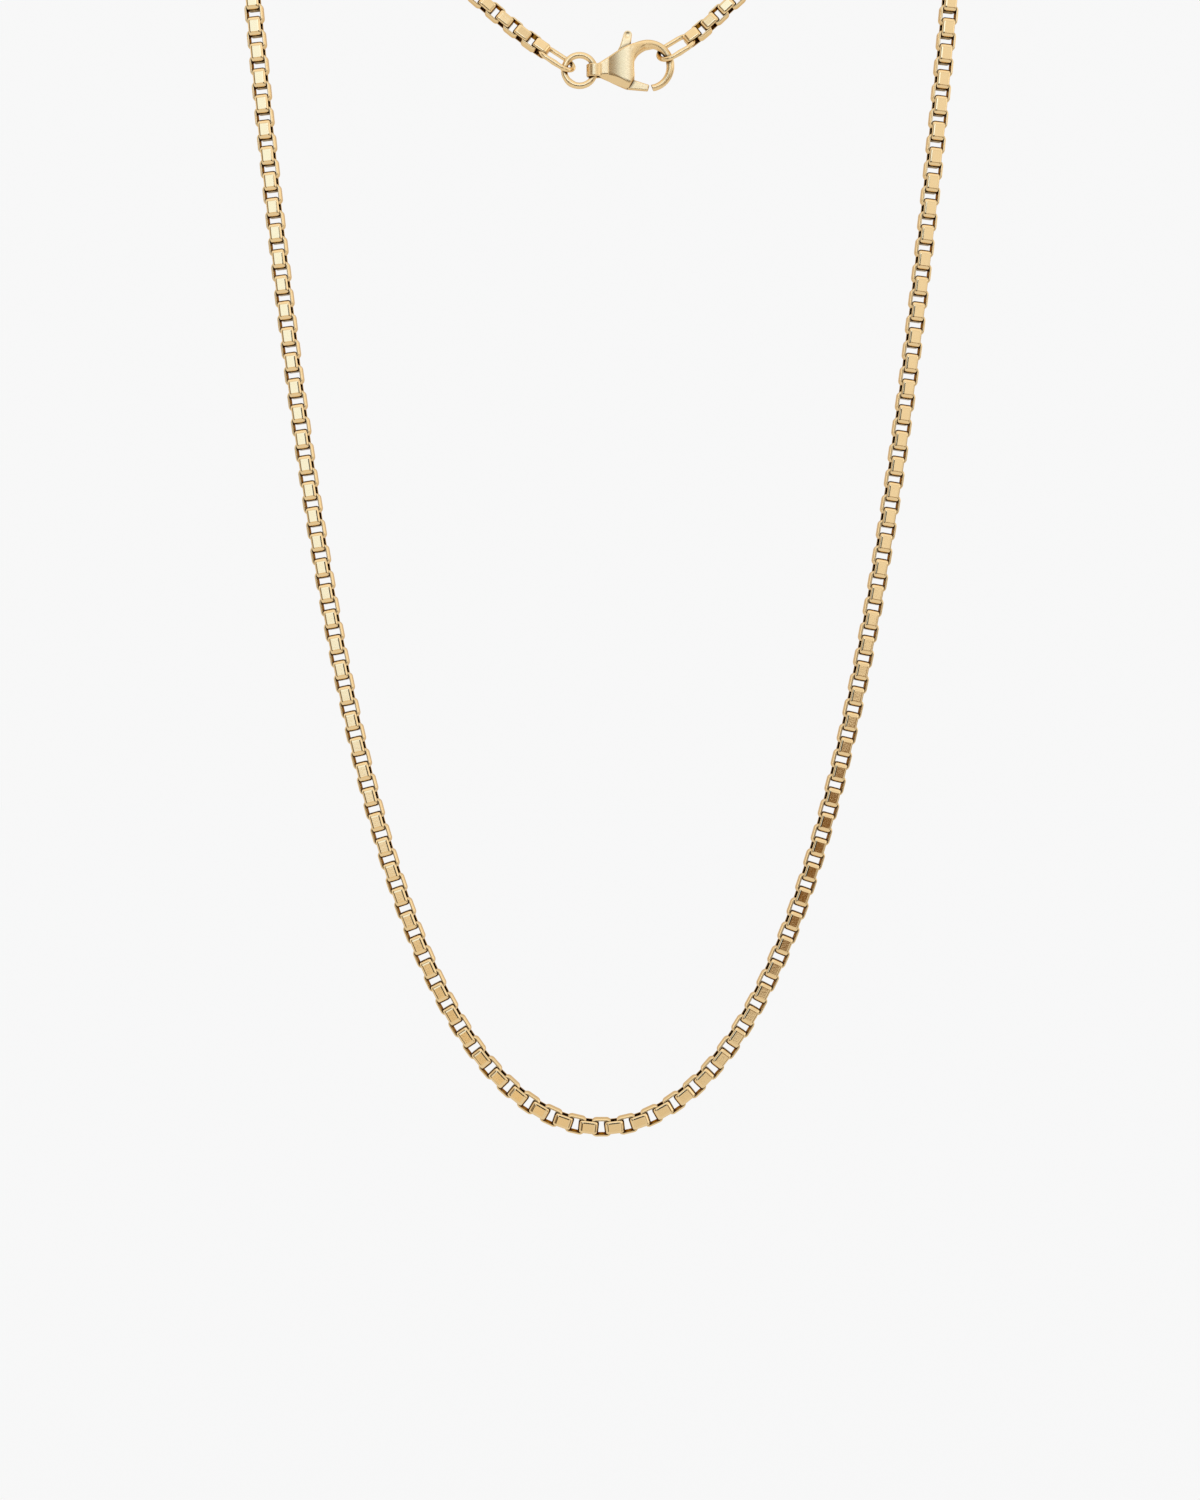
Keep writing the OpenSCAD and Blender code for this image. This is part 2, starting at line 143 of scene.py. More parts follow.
class HalfChain:
    """One half of the chain's centre line, by the distance s from the lowest link."""

    def __init__(self, side, shoulder, back, end, end_angle):
        self.side = side
        self.front_arc = SAG_R * math.sinh(FRONT_HALF_W / SAG_R)
        angle = math.radians(end_angle)
        self.end_direction = np.array([math.cos(angle), 0, math.sin(angle)])
        shoulder, back, end = map(np.array, (shoulder, back, end))
        start = self.front_point(self.front_arc)
        lead = start + FRONT_LEAD * self.front_direction(self.front_arc)
        into_back = unit(back - shoulder)
        reach = np.linalg.norm(end - back) / 3
        t = np.linspace(0, 1, CURVE_STEPS)
        self.points = np.concatenate([
            bezier([start, lead, shoulder, back], t),
            bezier([back, back + reach * into_back, end - reach * self.end_direction, end], t)])
        steps = np.linalg.norm(np.diff(self.points, axis=0), axis=1)
        self.distances = self.front_arc + np.concatenate([[0], np.cumsum(steps)])
        self.total = self.distances[-1]

    def front_point(self, s):
        rise = math.sqrt(SAG_R ** 2 + s ** 2) - SAG_R
        return lowest_link + (self.side * SAG_R * math.asinh(s / SAG_R), 0, rise)

    def front_direction(self, s):
        return unit(np.array([self.side * SAG_R, 0, s]))

    def point(self, s):
        if s <= self.front_arc:
            return self.front_point(s)
        return np.array([np.interp(s, self.distances, axis) for axis in self.points.T])

    def direction(self, s):
        if s <= self.front_arc - DIRECTION_REACH:
            return self.front_direction(s)
        if s > self.total - DIRECTION_REACH:
            return self.end_direction
        return unit(self.point(s + DIRECTION_REACH) - self.point(s - DIRECTION_REACH))

    def links(self):
        """For each link from the lowest on: its centre, its direction, the way its face looks."""
        count = round(self.total / LINK_PITCH)
        step = self.total / count
        back_links = round(RUN_TO_END / step)
        front_links = count - back_links - round(TURNING_RUN / step)
        centre = [self.point(i * step) for i in range(count + 1)]
        along = [self.direction(i * step) for i in range(count + 1)]
        face = [None] * (count + 1)
        to_front = np.array([0, -1.0, 0])
        for i in range(front_links):
            face[i] = turned(flat_part(to_front, along[i]), along[i], self.side * FRONT_LEAN)
        for j in range(back_links):
            lean = BACK_LEAN + (END_LEAN - BACK_LEAN) * max(0, 1 - j / LEAN_LINKS)
            i = count - j
            face[i] = turned(flat_part(to_front, along[i]), along[i], self.side * lean)
        # Behind the shoulder the face is carried along, and turned evenly to meet the back's
        first, last = front_links - 1, count - back_links + 1
        carried = face[first]
        for i in range(first + 1, last + 1):
            carried = flat_part(carried, along[i])
            if i < last:
                face[i] = carried
        across = np.cross(along[last], carried)
        left_to_turn = math.degrees(math.atan2(np.dot(face[last], across),
                                               np.dot(face[last], carried)))
        # A link looks the same after half a turn, so it takes the shorter way
        left_to_turn = (left_to_turn + 90) % 180 - 90
        for i in range(first + 1, last):
            share = (i - first) / (last - first)
            face[i] = turned(face[i], along[i], left_to_turn * share)
        return list(zip(centre, along, face))


def strip_section():
    """Round the strip: to the side, below the outer face, and degrees turned from it."""
    half = []
    for degrees in EDGE_ANGLES:
        a = math.radians(degrees)
        has_turned = math.atan2(EDGE_DEPTH * math.sin(a), EDGE_W * math.cos(a))
        half.append((FLAT_HALF_W + EDGE_W * math.sin(a), EDGE_DEPTH * (1 - math.cos(a)),
                     math.degrees(has_turned)))
    half += INNER_EDGE
    return [(-to_side, below, -turn) for to_side, below, turn in reversed(half)] + half


def link_mesh():
    """One link: corners, surface directions, four-sided faces, and each face's finish."""
    flat_angle = math.asin(1 - (LINK_L / 2 - FLAT_HALF_L) / BEND_R)
    centre_x = LINK_W / 2 - BEND_R * math.cos(flat_angle)
    centre_z = LINK_L / 2 - BEND_R
    # Round the link, each place has a point and the direction that the strip faces there
    bend = []
    for share in BEND_SHARES:
        a = flat_angle + (math.pi / 2 - flat_angle) * share
        faces_to = a if share else 0
        bend.append((centre_x + BEND_R * math.cos(a), centre_z + BEND_R * math.sin(a),
                     math.cos(faces_to), math.sin(faces_to)))
    way = (bend + [(-x, z, -nx, nz) for x, z, nx, nz in reversed(bend)]
           + [(-x, -z, -nx, -nz) for x, z, nx, nz in bend]
           + [(x, -z, nx, -nz) for x, z, nx, nz in reversed(bend)])
    section = strip_section()
    corners = np.array([(x - nx * below, to_side, z - nz * below)
                        for x, z, nx, nz in way for to_side, below, _ in section])
    looks = np.array([(nx * math.cos(math.radians(turn)), math.sin(math.radians(turn)),
                       nz * math.cos(math.radians(turn)))
                      for _, _, nx, nz in way for _, _, turn in section])
    rings, across = len(way), len(section)
    middle = across // 2 - 1
    faces, finish = [], []
    for ring in range(rings):
        after = (ring + 1) % rings
        ground_wall = ring in (rings // 2 - 1, rings - 1)
        for k in range(across):
            faces.append((ring * across + k, ring * across + (k + 1) % across,
                          after * across + (k + 1) % across, after * across + k))
            if ground_wall and abs(k - middle) < SATIN_FACES:
                finish.append("flats")
            else:
                finish.append("bends" if abs(k - middle) < OUTER_FACES else "inside")
    return corners, looks, np.array(faces), finish


# Colours of the gold, and of the same gold where it is seen along its surface
GOLD, GRAZING_GOLD = (0.93, 0.665, 0.335), (0.85, 0.7, 0.52)
# The same gold darker, as painted shade for the links' inner faces, and that darker gold seen
# along its surface
SHADED_GOLD, GRAZING_SHADED_GOLD = (0.56, 0.32, 0.11), (0.5, 0.3, 0.15)
# Brown of the painted shade that darkens the gold in its narrow places
CREVICE_SHADE_BROWN = (0.025, 0.01, 0.004)
# Between these shares of open sky, the brown painted shade goes over into unshaded gold
CREVICE_SHADE_FROM, CREVICE_SHADE_TO = 0.5, 0.9
CREVICE_SHADE_SAMPLES = 8
# The gold's colour varies slightly towards a paler one, in patches of several grains
PALER = (1.0, 1.04, 1.12)
PATCH_GRAINS = 6
# The values that a noise texture mostly keeps between
NOISE_FROM, NOISE_TO = 0.3, 0.7
# Where a colour mixing node has its two colours and its result
MIX_FIRST, MIX_SECOND, MIX_RESULT = 6, 7, 2


def feed(socket, value):
    """Sets an input to a value, or links it to another node's output."""
    if isinstance(value, bpy.types.NodeSocket):
        socket.id_data.links.new(value, socket)
    else:
        socket.default_value = value


def new_node(tree, kind, **inputs):
    """A new node, with its inputs by name."""
    node = tree.nodes.new(kind)
    for name, value in inputs.items():
        feed(node.inputs[name.replace("_", " ")], value)
    return node


def mixed(tree, share, first, second):
    """The colour that is by share on the way from first to second."""
    mix = new_node(tree, "ShaderNodeMix")
    mix.data_type = "RGBA"
    feed(mix.inputs["Factor"], share)
    feed(mix.inputs[MIX_FIRST], first)
    feed(mix.inputs[MIX_SECOND], second)
    return mix.outputs[MIX_RESULT]


def new_material(name):
    """A new material, with its node tree and its surface shader."""
    material = bpy.data.materials.new(name)
    material.use_nodes = True
    return material, material.node_tree, material.node_tree.nodes["Principled BSDF"]


def gold(name, colour, roughness, grain, grain_size, grain_depth, crevice_shade=0.0, edge=GRAZING_GOLD):
    """Yellow gold: its roughness varies with a fine grain, which also stands in slight relief.

    The argument before edge is how far brown painted shade reaches out of the narrow places, and
    edge is the gold's colour where it is seen along its surface.
    """
    material, tree, metal = new_material(name)
    feed(metal.inputs["Metallic"], 1.0)
    feed(metal.inputs["Specular Tint"], (*edge, 1))
    place = new_node(tree, "ShaderNodeTexCoord").outputs["Object"]
    fine = new_node(tree, "ShaderNodeTexNoise", Vector=place, Detail=3.0,
                    Scale=1 / (grain_size * MM)).outputs["Fac"]
    patches = new_node(tree, "ShaderNodeTexNoise", Vector=place, Detail=2.0,
                       Scale=1 / (PATCH_GRAINS * grain_size * MM)).outputs["Fac"]
    rough = new_node(tree, "ShaderNodeMapRange", Value=fine,
                     From_Min=NOISE_FROM, From_Max=NOISE_TO,
                     To_Min=roughness - grain, To_Max=roughness + grain)
    feed(metal.inputs["Roughness"], rough.outputs["Result"])
    paler = [part * more for part, more in zip(colour, PALER)]
    surface = mixed(tree, patches, (*colour, 1), (*paler, 1))
    # Painted shade: where ambient occlusion finds the gold hemmed in, its colour turns towards
    # brown
    if crevice_shade:
        sky = new_node(tree, "ShaderNodeAmbientOcclusion", Distance=crevice_shade * MM)
        sky.samples = CREVICE_SHADE_SAMPLES
        unshaded = new_node(tree, "ShaderNodeMapRange", Value=sky.outputs["AO"],
                         From_Min=CREVICE_SHADE_FROM, From_Max=CREVICE_SHADE_TO)
        surface = mixed(tree, unshaded.outputs["Result"], (*CREVICE_SHADE_BROWN, 1), surface)
    feed(metal.inputs["Base Color"], surface)
    relief = new_node(tree, "ShaderNodeBump", Height=fine, Distance=grain_depth * MM, Strength=1.0)
    feed(metal.inputs["Normal"], relief.outputs["Normal"])
    return material


def add_piece(name, corners, looks, faces, materials, body="necklace", slot="gold_polished"):
    """A smooth mesh piece, riding on a body of the frame.

    Its corners are in millimetres, and looks is the surface's direction at each.
    """
    mesh = bpy.data.meshes.new(name)
    mesh.from_pydata(np.asarray(corners) * MM, [], faces)
    for material in materials:
        mesh.materials.append(material)
    mesh.polygons.foreach_set("use_smooth", np.ones(len(mesh.polygons), bool))
    mesh.normals_split_custom_set_from_vertices(looks)
    piece = bpy.data.objects.new(name, mesh)
    bpy.context.collection.objects.link(piece)
    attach(piece, body)
    return piece


# The bends carry brown painted shade in their narrow places
link_finishes = {
    "bends": gold("gold_link_bends", GOLD, roughness=0.13, grain=0.03, grain_size=0.35,
                  grain_depth=0.002, crevice_shade=0.8),
    "flats": gold("gold_link_flats", GOLD, roughness=0.12, grain=0.04, grain_size=0.13,
                  grain_depth=0.006),
    # The inner faces take the darker gold as painted shade, and carry the brown painted shade in
    # their narrow places too
    "inside": gold("gold_link_inside_shaded", SHADED_GOLD, roughness=0.2, grain=0.05, grain_size=0.2,
                   grain_depth=0.003, crevice_shade=0.5, edge=GRAZING_SHADED_GOLD),
}
corners, looks, faces, finish = link_mesh()
finish_slots = [list(link_finishes).index(name) for name in finish]
for name, route in ROUTES.items():
    links = HalfChain(**route).links()
    # The lowest link belongs to the left half. It looks to the front with its opening, and
    # from there on every other link does, on both sides
    if name == "right":
        links = links[1:]
    open_front = name == "left"
    all_corners, all_looks, all_faces = [], [], []
    for centre, along, face in links:
        opening = face if open_front else np.cross(along, face)
        axes = np.array([np.cross(opening, along), opening, along])
        all_faces.append(faces + len(corners) * len(all_corners))
        all_corners.append(centre + corners @ axes)
        all_looks.append(looks @ axes)
        open_front = not open_front
    piece = add_piece(f"links_{name}", np.concatenate(all_corners), np.concatenate(all_looks),
                      np.concatenate(all_faces).tolist(), link_finishes.values(),
                      slot="gold_links")
    slots = np.tile(finish_slots, len(links)).astype(np.int32)
    piece.data.polygons.foreach_set("material_index", slots)
    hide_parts(f"chain_{name}", f"plain_run_{name}")

# End loops
# Each half of the chain ends in an oval of round wire, bent through the last link and
# through the ring or the hook, and closed with a touch of solder on one long side.
LOOP_WIRE_R = 0.31
SOLDER_SWELL, SOLDER_L = 0.05, 0.5
WIRE_SIDES = 28
LOOP_END_POINTS, LOOP_SIDE_POINTS = 40, 16
# start is the wire's middle in the last link, rise is the direction that the loop goes off
# in from there, and lean is how far its plane turns back from upright, both in degrees
END_LOOPS = {
    "left": {"start": (-3.5706, 27.25, -19.265), "rise": 147, "length": 4.6, "width": 2.4,
             "lean": 54},
    "right": {"start": (7.2357, 27.25, -17.8424), "rise": 31, "length": 4.7, "width": 2.8,
              "lean": 48},
}


def wire(points, radii, plane):
    """A closed round wire along points that lie in one plane, which plane is square to."""
    count = len(points)
    ahead = np.roll(points, -1, axis=0) - np.roll(points, 1, axis=0)
    ahead /= np.linalg.norm(ahead, axis=1)[:, None]
    outward = np.cross(ahead, plane)
    turns = np.linspace(0, 2 * math.pi, WIRE_SIDES, endpoint=False)
    looks = (np.cos(turns)[None, :, None] * outward[:, None]
             + np.sin(turns)[None, :, None] * plane)
    corners = points[:, None] + radii[:, None, None] * looks
    faces = []
    for i in range(count):
        here, after = i * WIRE_SIDES, (i + 1) % count * WIRE_SIDES
        for k in range(WIRE_SIDES):
            beside = (k + 1) % WIRE_SIDES
            faces.append((here + k, after + k, after + beside, here + beside))
    return corners.reshape(-1, 3), looks.reshape(-1, 3), faces


def with_solder(points, wire_r, joint):
    """The wire's radius at each point, swelling over its solder joint."""
    from_joint = np.linalg.norm(points - joint, axis=1)
    return wire_r + SOLDER_SWELL * np.exp(-(from_joint / SOLDER_L) ** 2)


def oval(length, width):
    """Points round an oval in its own plane, which starts at 0 and runs along the first axis."""
    end_r = width / 2
    turn = np.radians(np.linspace(90, 270, LOOP_END_POINTS))
    first = np.stack([end_r + end_r * np.cos(turn), end_r * np.sin(turn)], axis=1)
    second = np.stack([length - end_r - end_r * np.cos(turn), -end_r * np.sin(turn)], axis=1)
    side = np.linspace(end_r, length - end_r, LOOP_SIDE_POINTS)[1:-1]
    lower = np.stack([side, np.full(len(side), -end_r)], axis=1)
    upper = np.stack([side[::-1], np.full(len(side), end_r)], axis=1)
    return np.concatenate([first, lower, second, upper])


# The wire carries brown painted shade where it is hemmed in
wire_gold = gold("gold_wire", GOLD, roughness=0.19, grain=0.03, grain_size=0.3,
                 grain_depth=0.002, crevice_shade=0.5)
for name, loop in END_LOOPS.items():
    rise, lean = math.radians(loop["rise"]), math.radians(loop["lean"])
    along = np.array([math.cos(rise), 0, math.sin(rise)])
    upward = np.cross(along, (0, 1, 0))
    upward *= np.sign(upward[2])
    across = math.cos(lean) * upward + math.sin(lean) * np.array([0, 1.0, 0])
    flat = oval(loop["length"], loop["width"])
    points = np.array(loop["start"]) + flat[:, :1] * along + flat[:, 1:] * across
    # The solder stands in the middle of the lower side
    radii = with_solder(flat, LOOP_WIRE_R, (loop["length"] / 2, -loop["width"] / 2))
    piece = add_piece(f"end_wire_{name}", *wire(points, radii, np.cross(along, across)),
                      [wire_gold])
    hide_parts(f"end_loop_{name}")

# Jump ring
# A round ring of thicker gold wire through the clasp's eye, soldered shut at its lower
# left, away from the clasp. The left end loop hangs in it.
RING_R, RING_WIRE_R = 1.9, 0.4
RING_JOINT_WAY = np.array([-0.6, 0, -0.8])
RING_POINTS = 120

ring_at = np.array(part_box("jump_ring")).mean(axis=0) / MM
turn = np.linspace(0, 2 * math.pi, RING_POINTS, endpoint=False)
points = ring_at + RING_R * np.stack([np.cos(turn), 0 * turn, np.sin(turn)], axis=1)
radii = with_solder(points, RING_WIRE_R, ring_at + RING_R * RING_JOINT_WAY)
piece = add_piece("ring", *wire(points, radii, np.array([0, -1.0, 0])), [wire_gold])
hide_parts("jump_ring")

# Clasp body
# A lobster clasp's body, cast in one with its hook and its eye, then satin finished.
# It is measured from the lever's pin: X to the hook, Y to the back, Z up.
pin_at = np.array(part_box("lever_pin")).mean(axis=0) / MM
# Places on its upper and lower edges, and half its thickness at places along X: it flares
# from the eye, and dies away in the hook's root
BODY_TOP = [(-3.12, 0.38), (-2.0, 1.08), (-1.0, 1.73), (-0.43, 2.07), (0.82, 2.62), (1.64, 2.86)]
BODY_BOTTOM = [(-3.12, -1.19), (-2.0, -1.75), (-1.05, -2.22), (0.0, -2.6), (0.61, -2.84)]
THICKNESS = [(-3.2, 0.22), (-2.4, 0.51), (-1.84, 0.72), (-1.4, 0.87), (-1.0, 1.0), (-0.5, 1.13),
             (0.0, 1.22), (0.7, 1.27), (1.3, 1.2), (1.8, 1.0), (2.3, 0.68), (2.7, 0.3)]
OUTLINE_ROUND, CHEEK_ROUND = 0.1, 0.28
BODY_LEFT, LEFT_ROUND = -3.3, 0.1
# Below each cheek a facet slopes in: a place on the front one, and the direction it looks in
FACET_AT, FACET_LOOKS, FACET_ROUND = (-1.84, -0.78, -1.03), (-0.417, -0.690, -0.592), 0.05
# From a sloping line down the cheeks curve in towards it, the more the further right
CREASE_AT, CREASE_SLOPE, CREASE_BEND = -1.47, -0.466, 0.4
CREASE_FROM, CREASE_GROWS_OVER, CREASE_LEAST = -2.2, 1.2, 0.2
# The neck keeps one thickness from the eye to the flare, and its lower edges are slanted
NECK_HALF_T, NECK_RIGHT, NECK_BOTTOM, NECK_SLANT = 0.76, -1.84, -1.02, (0.76, -0.65)
NECK_ROUND, NECK_END_ROUND, NECK_EDGE_ROUND, NECK_FILLET = 0.25, 0.1, 0.08, 0.06
# On the right the body ends in a slightly hollow edge, with its lower corner cut off
BODY_RIGHT, RIGHT_HOLLOW, RIGHT_HALF_H = 1.34, 0.03, 1.5
CORNER_AT, CORNER_LOOKS, CORNER_ROUND = (1.42, -1.45), (0.863, -0.506), 0.5
ROOT_INNER_R, ROOT_ROUND, RIGHT_ROUND = 2.08, 0.2, 0.3
HOOK_CENTRE, HOOK_FILLET = (3.2, 0.0), 0.35
# Round the hook from its tip: angle, radius of the way, half width, half thickness
HOOK_STATIONS = [(-95, 2.62, 0.40, 0.43), (-78, 2.65, 0.42, 0.44), (-61, 2.65, 0.44, 0.46),
                 (-30, 2.62, 0.46, 0.48), (0, 2.64, 0.49, 0.50), (27, 2.67, 0.50, 0.53),
                 (53, 2.74, 0.51, 0.58), (90, 2.82, 0.53, 0.72), (118, 2.80, 0.60, 0.94),
                 (132, 2.74, 0.66, 1.0), (150, 2.66, 0.60, 0.70), (165, 2.60, 0.45, 0.45)]
HOOK_STEPS, HOOK_BEGINS = 300, -100
# The tip is cut off at a slope, up to this height, and the root ends inside the body
TIP_AT, TIP_SLOPE, TIP_TOP = (3.43, -2.3), 0.41, -1.0
ROOT_RIGHT, ROOT_TOP, HOOK_END_ROUND = 2.0, 0.9, 0.06
EYE_AT, EYE_R, EYE_BORE_R, EYE_HALF_H = (-3.55, -0.47), 1.04, 0.74, 0.79
EYE_ROUND, EYE_FILLET, BORE_ROUND = 0.14, 0.15, 0.1
# The slot for the lever goes round its hub, up for the thumb tab and down for the arm
SLOT_HALF_T, SLOT_HUB_R, SLOT_ROUND = 0.55, 0.86, 0.05
SLOT_ABOVE = [(0.9, 0), (0.9, 2.1), (1.3, 4.6), (-3.4, 4.6), (-2.15, 2.1), (-0.86, 0)]
SLOT_BELOW = [(-0.7, -0.08), (0.73, -3.38), (2.2, -3.38), (2.2, 0.4), (0.6, 0.6)]
PIN_SEAT_R, PIN_SEAT_HALF_L, PIN_SEAT_ROUND = 0.33, 0.95, 0.02
BODY_LOW, BODY_HIGH, BODY_CELL = (-4.8, -1.5, -3.6), (6.7, 1.5, 3.7), 0.055
# How a skin settles on its form: rounds of smoothing, steps of each, the share of a cell
# that a slope is measured over, and the least steepness that a step reckons with
SMOOTHING_ROUNDS, STEPS_A_ROUND = 3, 3
SLOPE_REACH, LEAST_STEEPNESS = 0.2, 0.2


def both(a, b, r):
    """What is inside two forms, with the edge between them rounded to r."""
    corner = np.hypot(np.maximum(a + r, 0), np.maximum(b + r, 0))
    return np.minimum(np.maximum(a, b), -r) + corner


def joined(a, b, r):
    """Two forms as one, with a fillet of r between them."""
    return -both(-a, -b, r)


def less(a, b, r):
    """The first form with the second cut out of it."""
    return both(a, -b, r)


def outline(points, x, z):
    """How far a place is outside a closed outline; below zero inside it."""
    nearest, inside = np.full(np.shape(x), np.inf), np.zeros(np.shape(x), bool)
    for (ax, az), (bx, bz) in zip(points, points[1:] + points[:1]):
        ex, ez = bx - ax, bz - az
        t = np.clip(((x - ax) * ex + (z - az) * ez) / (ex * ex + ez * ez), 0, 1)
        nearest = np.minimum(nearest, np.hypot(x - ax - t * ex, z - az - t * ez))
        if ez:
            crosses = (az > z) != (bz > z)
            inside ^= crosses & (x < ax + (z - az) * ex / ez)
    return np.where(inside, -nearest, nearest)


def smooth_line(places, degree):
    """The smooth line of that degree that lies nearest to the places."""
    return np.poly1d(np.polyfit(*zip(*places), degree))


def above(line, x, z):
    """How far a place is above a smooth line z = line(x)."""
    return (z - line(x)) / np.hypot(1, line.deriv()(x))


body_top = smooth_line(BODY_TOP, 3)
body_bottom = smooth_line(BODY_BOTTOM, 2)
body_half_t = smooth_line(THICKNESS, 5)
station_angles, *station_columns = zip(*HOOK_STATIONS)
hook_angles = np.linspace(station_angles[0], station_angles[-1], HOOK_STEPS)
hook_way, hook_half_w, hook_half_t = (
    np.polyval(np.polyfit(station_angles, column, 7), hook_angles) for column in station_columns)


def cheeks(sides, x, y, z):
    """The two cheeks, with the facet below them."""
    x_in = np.clip(x, THICKNESS[0][0], THICKNESS[-1][0])
    below_line = np.maximum(CREASE_AT + CREASE_SLOPE * x - z, 0)
    growth = np.clip((x - CREASE_FROM) / CREASE_GROWS_OVER, CREASE_LEAST, 1)
    half_t = body_half_t(x_in) - CREASE_BEND * growth * below_line ** 2
    walls = (abs(y) - half_t) / np.hypot(1, body_half_t.deriv()(x_in))
    facet = ((x - FACET_AT[0]) * FACET_LOOKS[0] + (-abs(y) - FACET_AT[1]) * FACET_LOOKS[1]
             + (z - FACET_AT[2]) * FACET_LOOKS[2])
    return both(both(sides, walls, CHEEK_ROUND), facet, FACET_ROUND)


def neck(sides, x, y, z):
    """The plain neck between the eye and the cheeks."""
    walls = abs(y) - NECK_HALF_T
    form = both(both(sides, walls, NECK_ROUND), x - NECK_RIGHT, NECK_END_ROUND)
    slant = NECK_SLANT[0] * walls + NECK_SLANT[1] * (z - NECK_BOTTOM)
    return both(form, slant, NECK_EDGE_ROUND)


def right_edge(x, z):
    """Where the body ends at the opening, which it follows up into the hook."""
    hollow = x - (BODY_RIGHT + RIGHT_HOLLOW * (z / RIGHT_HALF_H) ** 2)
    root = ROOT_INNER_R - np.hypot(x - HOOK_CENTRE[0], z - HOOK_CENTRE[1])
    corner = (x - CORNER_AT[0]) * CORNER_LOOKS[0] + (z - CORNER_AT[1]) * CORNER_LOOKS[1]
    return both(joined(hollow, root, ROOT_ROUND), corner, CORNER_ROUND)


def hook(x, y, z):
    """The hook: an oval wire that thickens to its root, cut off at its tip."""
    dx, dz = x - HOOK_CENTRE[0], z - HOOK_CENTRE[1]
    angle = np.degrees(np.arctan2(dz, dx))
    angle = np.where(angle < HOOK_BEGINS, angle + 360, angle)
    way, half_w, half_t = (np.interp(angle, hook_angles, values)
                           for values in (hook_way, hook_half_w, hook_half_t))
    oval_wire = (np.hypot((np.hypot(dx, dz) - way) / half_w, y / half_t) - 1) * half_w
    # The cut tip faces the gate
    past_tip = np.maximum(z - TIP_TOP, x - TIP_AT[0] + TIP_SLOPE * (z - TIP_AT[1]))
    past_root = np.maximum(z - ROOT_TOP, x - ROOT_RIGHT)
    return less(oval_wire, np.minimum(past_tip, past_root), HOOK_END_ROUND)


def clasp_body_form(x, y, z):
    """How far a place is outside the clasp's body."""
    sides = both(above(body_top, x, z), -above(body_bottom, x, z), OUTLINE_ROUND)
    form = joined(cheeks(sides, x, y, z), neck(sides, x, y, z), NECK_FILLET)
    form = both(form, right_edge(x, z), RIGHT_ROUND)
    form = both(form, BODY_LEFT - x, LEFT_ROUND)
    form = joined(form, hook(x, y, z), HOOK_FILLET)
    from_eye = np.hypot(x - EYE_AT[0], y)
    eye = both(from_eye - EYE_R, abs(z - EYE_AT[1]) - EYE_HALF_H, EYE_ROUND)
    form = joined(form, eye, EYE_FILLET)
    form = less(form, from_eye - EYE_BORE_R, BORE_ROUND)
    slot = np.minimum(np.hypot(x, z) - SLOT_HUB_R,
                      np.minimum(outline(SLOT_ABOVE, x, z), outline(SLOT_BELOW, x, z)))
    form = less(form, both(slot, abs(y) - SLOT_HALF_T, SLOT_ROUND), SLOT_ROUND)
    seat = both(np.hypot(x, z) - PIN_SEAT_R, abs(y) - PIN_SEAT_HALF_L, PIN_SEAT_ROUND)
    return less(form, seat, PIN_SEAT_ROUND)


def grid_faces(inside, number):
    """Four-sided faces between the cells round each grid edge that goes through the surface."""
    faces = []
    for axis in range(3):
        order = (axis, (axis + 1) % 3, (axis + 2) % 3)
        inside_here = np.moveaxis(inside, order, (0, 1, 2))
        number_here = np.moveaxis(number, order, (0, 1, 2))
        change = inside_here[1:, 1:-1, 1:-1].astype(int) - inside_here[:-1, 1:-1, 1:-1]
        i, j, k = np.nonzero(change)
        quads = np.stack([number_here[i, j + dj, k + dk]
                          for dj, dk in ((0, 0), (1, 0), (1, 1), (0, 1))], axis=1)
        flip = change[i, j, k] > 0
        quads[flip] = quads[flip][:, ::-1]
        faces.append(quads)
    return np.concatenate(faces)


def skin(form, low, high, cell):
    """A closed mesh over a form, of about one four-sided face per cell of a fine grid.

    It gives the corners, the surface's direction at each, and the faces.
    """
    axes = [np.arange(a, b + cell, cell) for a, b in zip(low, high)]
    inside = form(*np.meshgrid(*axes, indexing="ij")) < 0
    cells = [n - 1 for n in inside.shape]
    corners_inside = sum(inside[i:cells[0] + i, j:cells[1] + j, k:cells[2] + k].astype(int)
                         for i in (0, 1) for j in (0, 1) for k in (0, 1))
    used = np.argwhere((corners_inside > 0) & (corners_inside < 8))
    number = np.full(cells, -1)
    number[tuple(used.T)] = np.arange(len(used))
    faces = grid_faces(inside, number)
    corners = np.array([axes[a][used[:, a]] + cell / 2 for a in range(3)]).T
    edges = np.concatenate([faces[:, [k, (k + 1) % 4]] for k in range(4)])
    reach = SLOPE_REACH * cell
    for round_number in range(SMOOTHING_ROUNDS + 1):
        if round_number:
            # Each corner moves half-way to the middle of its neighbours, then back on the form
            total, near = np.zeros_like(corners), np.zeros(len(corners))
            np.add.at(total, edges[:, 0], corners[edges[:, 1]])
            np.add.at(near, edges[:, 0], 1)
            corners = (corners + total / near[:, None]) / 2
        for _ in range(STEPS_A_ROUND):
            off = form(*corners.T)
            slope = np.array([
                (form(*(corners + reach * way).T) - form(*(corners - reach * way).T)) / (2 * reach)
                for way in np.eye(3)]).T
            steep = np.maximum((slope ** 2).sum(axis=1), LEAST_STEEPNESS)
            corners = corners - np.clip(off / steep, -cell, cell)[:, None] * slope
    return corners, slope / np.linalg.norm(slope, axis=1)[:, None], faces.tolist()


